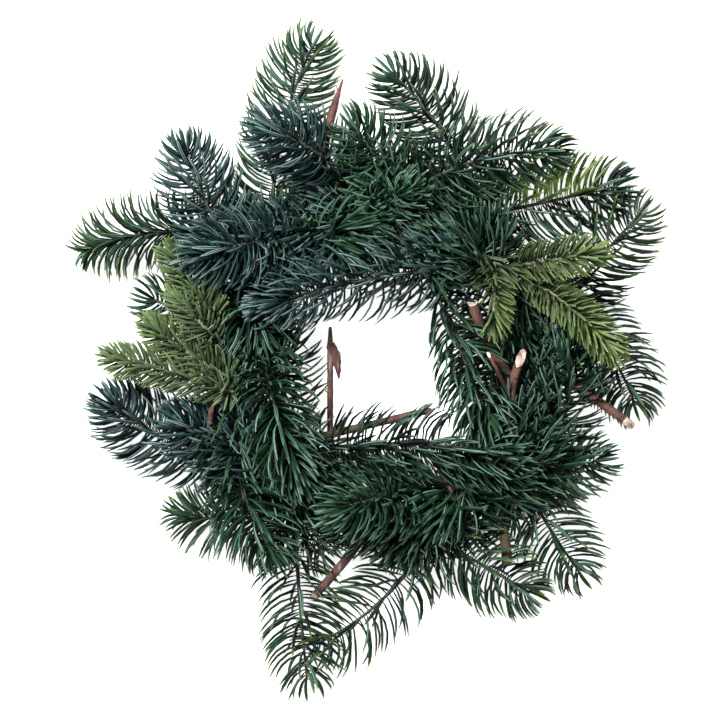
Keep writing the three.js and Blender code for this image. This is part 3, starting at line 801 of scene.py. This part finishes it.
class Material:
    """A node material with one Principled shader, and the nodes that feed it."""

    def __init__(self, name, roughness=0.5, **constants):
        self.material = bpy.data.materials.new(name)
        self.material.use_nodes = True
        self.nodes = self.material.node_tree.nodes
        self.links = self.material.node_tree.links
        self.shader = self.nodes["Principled BSDF"]
        self.shader.inputs["Roughness"].default_value = roughness
        for socket, value in constants.items():
            self.shader.inputs[socket.replace("_", " ")].default_value = value

    def node(self, kind, settings, inputs):
        """Adds a node of any kind, sets it, feeds it values or links, and returns its outputs."""
        node = self.nodes.new(kind)
        for key, value in settings.items():
            setattr(node, key, value)
        for key, value in inputs.items():
            self.feed(node.inputs[key], value)
        outputs = {}
        for number, socket in enumerate(node.outputs):
            outputs[number] = Value(self, socket)
            if socket.enabled:
                outputs.setdefault(socket.name, outputs[number])
        return outputs

    def feed(self, socket, value):
        """Links a value to a socket, or sets a plain number or colour there."""
        if isinstance(value, Value):
            self.links.new(value.socket, socket)
        elif socket.type == "RGBA":
            socket.default_value = (*value, 1)
        else:
            socket.default_value = value

    def attribute(self, name):
        """The number that the piece's points hold under a name."""
        return self.node("ShaderNodeAttribute", {"attribute_name": name}, {})["Fac"]

    def across_and_along(self):
        """The sides counted round the surface, and the share along it."""
        uv = self.node("ShaderNodeUVMap", {"uv_map": "surface"}, {})["UV"]
        parts = self.node("ShaderNodeSeparateXYZ", {}, {"Vector": uv})
        return parts["X"], parts["Y"]

    def noise(self, scale, detail=3, stretch=None):
        """Noise over the object, whose size is about one over scale metres."""
        place = self.node("ShaderNodeTexCoord", {}, {})["Object"]
        if stretch:
            stretched = self.node("ShaderNodeVectorMath", {"operation": "MULTIPLY"}, {0: place, 1: stretch})
            place = stretched["Vector"]
        return self.node("ShaderNodeTexNoise", {}, {"Vector": place, "Scale": scale, "Detail": detail})["Fac"]

    def mix(self, factor, a, b):
        """Two colours mixed by a factor: the node's inputs 6 and 7, and its output 2."""
        return self.node("ShaderNodeMix", {"data_type": "RGBA"}, {"Factor": factor, 6: a, 7: b})[2]

    def finish(self, colour, roughness=None, height=None, depth=0.0003):
        """Feeds the shader, with a bump from a height if there is one."""
        self.feed(self.shader.inputs["Base Color"], colour)
        if roughness is not None:
            self.feed(self.shader.inputs["Roughness"], roughness)
        if height is not None:
            normal = self.node("ShaderNodeBump", {}, {"Height": height, "Distance": depth, "Strength": 0.6})
            self.feed(self.shader.inputs["Normal"], normal["Normal"])
        return self.material


def needle_material(name, deep, light, bloom, tip, bloom_and_highlight_share, edge_shade_share):
    """Needles: deep to light by draw, a pale line up each face that is partly wax bloom and partly a painted
    highlight, painted shade on the edges and at the root, and a light end that is partly young growth and
    partly painted light through the tip.

    Fresh ones have the tip's colour on their lower half too, a yellow-green that is partly young growth and
    partly painted light shining through them. Each share says how strong its mark is.
    """
    made = Material(name, Specular_IOR_Level=0.15)
    across, along = made.across_and_along()
    draw, share, fresh = (made.attribute(key) for key in ATTRIBUTES)
    off_middle = across.fraction().distance(0.5)
    # The colour of the painted shade on the needles' edges and roots
    dark = scaled(deep, 0.4)
    tone = (0.8 * draw + 0.8 * made.noise(22) - 0.35).ramp(0.1, 0.95)
    green = made.mix(tone, deep, light)
    # Yellow-green over the lower half of fresh needles: partly young growth, partly painted light shining
    # through them
    green = made.mix(fresh.ramp(0.1, 0.6) * along.ramp(1.0, 0.5), green, tip)
    paler = (7.3 * draw).fraction()
    # Pale line up the middle of each face: wax bloom on the blue needles, and a painted highlight along each
    # needle as well
    green = made.mix(off_middle.ramp(0.34, 0.1) * paler ** 3 * bloom_and_highlight_share, green, bloom)
    # Painted shade along the edges of each face
    green = made.mix(off_middle.ramp(0.24, 0.5) * edge_shade_share, green, dark)
    # A light end: partly young growth, partly painted light shining through the thin tip
    ends = along.ramp(0.74, 1.0) * (0.1 + 0.25 * share + 0.9 * fresh)
    green = made.mix(ends, green, made.mix(fresh.ramp(0.01, 0.14), bloom, tip))
    # Painted shade at the root of each needle, where it meets the stem; less on fresh ones
    shade = along.ramp(0.4, 0.0) * (0.65 - 0.6 * fresh.ramp(0.1, 0.6))
    return made.finish(made.mix(shade, green, dark), 0.36 + 0.2 * made.noise(300, 2))


def bark_material(name, dark, light, grain, pale=0.0, shaded_up_to=0.0):
    """Bark: flakes and fine cracks, light on the ridges. A crack is about one over grain metres.

    pale is how strong its streaks of pale wood are, and it is in shade up to a share along a stem.
    """
    made = Material(name)
    cracks = made.noise(grain, 6)
    flakes = made.noise(grain / 4, 4)
    colour = made.mix((0.6 * cracks + 0.6 * flakes).ramp(0.35, 0.85), dark, light)
    if shaded_up_to:
        along = made.across_and_along()[1]
        colour = made.mix(along.ramp(shaded_up_to, 0) * 0.9, colour, scaled(dark, 0.3))
    if pale:
        streaks = made.noise(420, 3, (1, 0.16, 1)).ramp(0.52, 0.66)
        colour = made.mix(pale * streaks, colour, WEATHERED_WOOD)
    return made.finish(colour, 0.65 + 0.25 * cracks, cracks, 0.0006)


def wood_material(cream):
    """Sawn or torn wood: cream, with a darker grain."""
    made = Material("cut_wood")
    grain = made.noise(900, 4)
    colour = made.mix(grain.ramp(0.3, 0.75), WOOD_GRAIN, cream)
    return made.finish(colour, 0.7 + 0.2 * grain, grain, 0.0002)


def length_property(name, description, default, least, most):
    """A length that the sidebar shows, given in millimetres."""
    return FloatProperty(name=name, description=description, default=default * MM, min=least * MM,
                         max=most * MM, unit="LENGTH")


class WreathNeedles(bpy.types.PropertyGroup):
    """Sizes of the needles."""

    spruce_length: length_property(
        "Spruce needle length", "Length of a spruce needle near the root of its spray", 25, 5, 40)
    spruce_width: length_property("Spruce needle width", "Widest part of a spruce needle", 1.95, 0.4, 3)
    spruce_spacing: length_property(
        "Spruce needle spacing", "Length of stem for each spruce needle", 0.34, 0.1, 2)
    fir_length: length_property(
        "Fir needle length", "Length of a fir needle near the root of its sprig", 13.5, 5, 40)
    fir_width: length_property("Fir needle width", "Widest part of a fir needle", 1.7, 0.4, 3)
    fir_spacing: length_property("Fir needle spacing", "Length of stem for each fir needle", 0.3, 0.1, 2)
    seed: IntProperty(name="Seed", description="Start of the random draws", default=SEED, min=0)


def colour_property(name, description, default):
    """A colour that the sidebar shows."""
    return FloatVectorProperty(name=name, description=description, default=default, size=3,
                               min=0, max=1, subtype="COLOR")


class WreathColours(bpy.types.PropertyGroup):
    """Colours of the needles, the bark and the wood."""

    green_deep: colour_property("Deep green", "Shaded spruce needles", (0.0012, 0.007, 0.0034))
    green_light: colour_property("Light green", "Lit spruce needles", (0.017, 0.058, 0.026))
    blue_deep: colour_property("Deep blue-green", "Shaded blue spruce needles", (0.002, 0.0092, 0.0086))
    blue_light: colour_property("Light blue-green", "Lit blue spruce needles", (0.023, 0.059, 0.057))
    # Pale lines along the needles: partly wax bloom, partly painted highlights
    green_bloom: colour_property("Green bloom", "Pale lines along a green needle", (0.25, 0.45, 0.33))
    blue_bloom: colour_property("Blue bloom", "Pale lines along a blue needle", (0.29, 0.44, 0.43))
    # Yellow-green of young growth, also used for painted light shining through needle tips
    fresh: colour_property("Fresh tips", "Young yellow-green growth", (0.32, 0.45, 0.07))
    olive_deep: colour_property("Deep olive", "Shaded fir needles", (0.042, 0.064, 0.03))
    olive_light: colour_property("Light olive", "Lit fir needles", (0.138, 0.19, 0.086))
    bark: colour_property("Bark", "Bark of the twigs", (0.16, 0.072, 0.052))
    vine: colour_property("Vine", "Bark of the ring", (0.08, 0.045, 0.03))
    wood: colour_property("Cut wood", "Wood of sawn and torn ends", (0.88, 0.76, 0.66))


class WreathStage(bpy.types.PropertyGroup):
    """The studio round the wreath."""

    lens: FloatProperty(name="Lens", description="Focal length of the camera", default=200, min=50,
                        max=400, unit="CAMERA")
    key_power: FloatProperty(name="Key light", description="Power of the large soft light", default=66,
                             min=0, unit="POWER")
    fill_power: FloatProperty(name="Fill light", description="Power of the light on the far side",
                              default=6, min=0, unit="POWER")
    sky_strength: FloatProperty(name="Sky", description="Strength of the even light all round",
                                default=0.16, min=0, max=2, subtype="FACTOR")
    floor_glow: FloatProperty(name="Floor glow", description="How much the floor shines by itself",
                              default=0.85, min=0, max=2, subtype="FACTOR")
    floor_colour: colour_property("Floor", "Colour of the plain floor", (0.93, 0.93, 0.93))


def needle_kind(settings, prefix, **shape):
    """The sizes that the sidebar holds in metres, made millimetres and needles per millimetre."""
    return NeedleKind(
        getattr(settings, prefix + "_length") / MM, getattr(settings, prefix + "_width") / MM,
        MM / getattr(settings, prefix + "_spacing"), **shape)


def side_shoots(stem):
    """Short shoots from a spray's root, each to the side where it keeps closer to the ring.

    A shoot runs straight in plan and falls evenly.
    """
    path = Path(stem.axis, stem.radius, FINE_STEP)
    share = np.linspace(0, 1, SHOOT_POINTS)
    radius = np.interp(share, *zip(*SHOOT_RADII))
    shoots = []
    for along, turn, length in SHOOTS:
        k = round(along / path.length * (len(path.points) - 1))
        heading = np.degrees(np.arctan2(path.ahead[k, 1], path.ahead[k, 0]))
        ways = np.radians([heading + turn, heading - turn])
        steps = np.stack([np.cos(ways), np.sin(ways), np.full(2, -SHOOT_FALL)], axis=1)
        ends = path.points[k] + length * steps
        off_ring = np.abs(np.linalg.norm(ends[:, :2] - RING_CENTRE, axis=1) - RING_RADIUS)
        axis = path.points[k] + share[:, None] * length * steps[np.argmin(off_ring)]
        axis[:, 2] = np.maximum(axis[:, 2], 2 * VINE_RADIUS)
        shoots.append(replace(stem, axis=axis, radius=radius, side_stems=[]))
    return shoots


def grow_branch(stem, kind, bark, needles, seed):
    """One spray or frond: the bark and the needles of its stem, its side stems and its shoots."""
    skins = []
    shoots = side_shoots(stem) if stem.name.startswith("spruce") else []
    for number, part in enumerate([stem, *stem.side_stems, *shoots]):
        skins.append(bark_tube(part.axis, part.radius, SPRAY_BARK, seed + number, 1, SPRAY_SLIMMER))
        skins.append(grow_needles(part, kind, seed + NEEDLE_SEEDS * (number + 1)))
    make_piece(stem.name, skins, [needles, bark])


class WREATH_OT_vine_ring(bpy.types.Operator):
    """Winds the vine of the ring, with its low spots flat where they rest"""

    bl_idname = "wreath.vine_ring"
    bl_label = "Vine ring"

    def execute(self, context):
        colours = context.scene.wreath_colours
        axis = vine_axis()
        skin = bark_tube(axis, np.full(len(axis), VINE_RADIUS), VINE_BARK, SEED, 0)
        bark = bark_material("vine_bark", scaled(colours.vine, 0.35), scaled(colours.vine, 1.6), 420)
        make_piece("vine_ring", [skin], [bark])
        return {"FINISHED"}


class WREATH_OT_spruce_sprays(bpy.types.Operator):
    """Grows every spray of spruce"""

    bl_idname = "wreath.spruce_sprays"
    bl_label = "Spruce sprays"

    def execute(self, context):
        colours = context.scene.wreath_colours
        needles = context.scene.wreath_needles
        kind = needle_kind(needles, "spruce", tip_share=0.55, root_lean=60, tip_lean=36, last_stretch=30,
                           arch=0.27, bare=3)
        bark = bark_material("spray_bark", *SPRAY_BARK_TONES, 900)
        materials = {}
        for colour, bloom_and_highlight_share in (("green", 0.65), ("blue", 1.0)):
            deep, light, bloom = (getattr(colours, colour + part) for part in ("_deep", "_light", "_bloom"))
            materials[colour] = needle_material(
                colour + "_needles", deep, light, bloom, colours.fresh, bloom_and_highlight_share, edge_shade_share=0.75)
        for number, row in enumerate(SPRAYS):
            name, colour = row[0], row[-1]
            grow_branch(laid_stems()[name], kind, bark, materials[colour],
                        needles.seed + number)
        return {"FINISHED"}


class WREATH_OT_fir_fronds(bpy.types.Operator):
    """Grows the two fronds of olive fir"""

    bl_idname = "wreath.fir_fronds"
    bl_label = "Fir fronds"

    def execute(self, context):
        colours = context.scene.wreath_colours
        needles = context.scene.wreath_needles
        kind = needle_kind(needles, "fir", tip_share=0.7, root_lean=52, tip_lean=30, last_stretch=18,
                           arch=0.08, bare=3)
        bark = bark_material("frond_bark", *FROND_BARK_TONES, 900)
        material = needle_material("fir_needles", colours.olive_deep, colours.olive_light,
                                   colours.green_bloom, colours.fresh, bloom_and_highlight_share=0.25, edge_shade_share=0.25)
        for number, (lead, _) in enumerate(FRONDS):
            grow_branch(laid_stems()[lead[0]], kind, bark, material,
                        needles.seed + FROND_SEEDS + number)
        return {"FINISHED"}


def short_skin(stem, share, turn, length, radii, finish):
    """A tapering tube that leaves a stem at a turn from its heading and runs straight."""
    path = Path(stem.axis, stem.radius, FINE_STEP)
    k = round(share * (len(path.points) - 1))
    a = np.radians(turn)
    way = path.ahead[k] * np.cos(a) + path.side[k] * np.sin(a)
    steps = np.linspace(0, 1, SHORT_POINTS)
    axis = path.points[k] + steps[:, None] * length * way
    piece = Path(axis, np.interp(steps, *zip(*radii)), length / SHORT_STEPS)
    return stem_skin(piece, piece.radius, np.zeros((len(piece.share), SHORT_SIDES)), finish)


class WREATH_OT_bare_twigs(bpy.types.Operator):
    """Makes the bare twigs with their cut and torn ends"""

    bl_idname = "wreath.bare_twigs"
    bl_label = "Bare twigs"

    def execute(self, context):
        colours = context.scene.wreath_colours
        dark = scaled(colours.bark, 0.25)
        bark = bark_material("twig_bark", dark, scaled(colours.bark, 1.15), 700, shaded_up_to=0.5)
        streaked = bark_material("torn_bark", dark, scaled(colours.bark, 0.8), 700, 0.25)
        olive = bark_material("olive_bark", *OLIVE_BARK_TONES, 700)
        bud = bark_material("bud", colours.olive_light, colours.fresh, 900)
        wood = wood_material(colours.wood)
        barks = {**dict.fromkeys(STREAKED, streaked), **dict.fromkeys(OLIVE_UP_TO, olive)}
        for number, (name, *_) in enumerate(TWIGS):
            stem = laid_stems()[name]
            slant, bare_from = SAWN.get(name, (0, NEVER))
            end = {"slant": slant, "bare_from": bare_from}
            if name in OLIVE_UP_TO:
                end.update(bare_from=OLIVE_UP_TO[name], bare_finish=3)
            skins = []
            for part in [stem, *stem.side_stems]:
                if name == FLAPPED and part is not stem:
                    end.update(flat=FLAP_HEIGHT, breadth=FLAP_BREADTH, roughness=FLAP_LUMPS)
                seed = SEED + TWIG_SEEDS + number
                skins.append(bark_tube(part.axis, part.radius, TWIG_BARK, seed, 0, **end))
            skins += [short_skin(stem, *splinter, SPLINTER_RADII, 1) for splinter in TORN.get(name, ())]
            if name == FLAPPED:
                skins.append(short_skin(stem, *BUD, 2))
            make_piece(name, skins, [barks.get(name, bark), wood, bud, bark])
        return {"FINISHED"}


class WREATH_OT_stage(bpy.types.Operator):
    """Lays the plain floor and sets the soft lights and the camera"""

    bl_idname = "wreath.stage"
    bl_label = "Stage"

    def execute(self, context):
        scene = context.scene
        stage = scene.wreath_stage
        floor_mesh = bpy.data.meshes.new("floor")
        corners = [(x * FLOOR_HALF, y * FLOOR_HALF, 0) for x, y in ((-1, -1), (1, -1), (1, 1), (-1, 1))]
        floor_mesh.from_pydata(corners, [], [(0, 1, 2, 3)])
        floor = bpy.data.objects.new("floor", floor_mesh)
        scene.collection.objects.link(floor)
        paper = Material("floor_paper", 0.9, Emission_Strength=stage.floor_glow, Emission_Color=(1, 1, 1, 1))
        floor_mesh.materials.append(paper.finish(tuple(stage.floor_colour)))

        world = bpy.data.worlds.new("studio")
        world.use_nodes = True
        sky = world.node_tree.nodes["Background"].inputs
        sky["Color"].default_value = SKY_COLOUR
        sky["Strength"].default_value = stage.sky_strength
        scene.world = world

        for name, (size, place) in LIGHTS.items():
            light = bpy.data.lights.new(name, "AREA")
            light.energy = getattr(stage, name + "_power")
            light.size = size
            lamp = bpy.data.objects.new(name, light)
            lamp.location = place
            lamp.rotation_euler = (-Vector(place)).to_track_quat("-Z", "Y").to_euler()
            scene.collection.objects.link(lamp)

        camera = bpy.data.cameras.new("camera")
        camera.lens = stage.lens
        camera.sensor_width = SENSOR_WIDTH
        eye = bpy.data.objects.new("camera", camera)
        x, y, z = VIEW_CENTRE
        eye.location = (x * MM, y * MM, (z + VIEW_WIDTH * stage.lens / SENSOR_WIDTH) * MM)
        scene.collection.objects.link(eye)
        scene.camera = eye
        scene.view_settings.view_transform = "Standard"
        return {"FINISHED"}


class WREATH_PT_sidebar(bpy.types.Panel):
    """The wreath's settings and its pieces."""

    bl_label = "Evergreen wreath"
    bl_idname = "WREATH_PT_sidebar"
    bl_space_type = "VIEW_3D"
    bl_region_type = "UI"
    bl_category = "Wreath"

    def draw(self, context):
        for name in GROUPS:
            group = getattr(context.scene, name)
            box = self.layout.box()
            for key in group.bl_rna.properties.keys():
                if key not in {"rna_type", "name"}:
                    box.prop(group, key)
        for operator in PIECES:
            self.layout.operator(operator.bl_idname)


GROUPS = {"wreath_needles": WreathNeedles, "wreath_colours": WreathColours, "wreath_stage": WreathStage}
PIECES = (WREATH_OT_vine_ring, WREATH_OT_spruce_sprays, WREATH_OT_fir_fronds, WREATH_OT_bare_twigs,
          WREATH_OT_stage)


def register():
    """Adds the classes, and each group of settings to the scene."""
    for kind in (*GROUPS.values(), *PIECES, WREATH_PT_sidebar):
        bpy.utils.register_class(kind)
    for name, group in GROUPS.items():
        setattr(bpy.types.Scene, name, PointerProperty(type=group))


def unregister():
    """Takes the settings and the classes away again."""
    for name in GROUPS:
        delattr(bpy.types.Scene, name)
    for kind in (WREATH_PT_sidebar, *reversed(PIECES), *GROUPS.values()):
        bpy.utils.unregister_class(kind)


def main():
    """Makes every piece in order."""
    register()
    bpy.ops.wreath.vine_ring()
    bpy.ops.wreath.spruce_sprays()
    bpy.ops.wreath.fir_fronds()
    bpy.ops.wreath.bare_twigs()
    bpy.ops.wreath.stage()


if __name__ == "__main__":
    main()
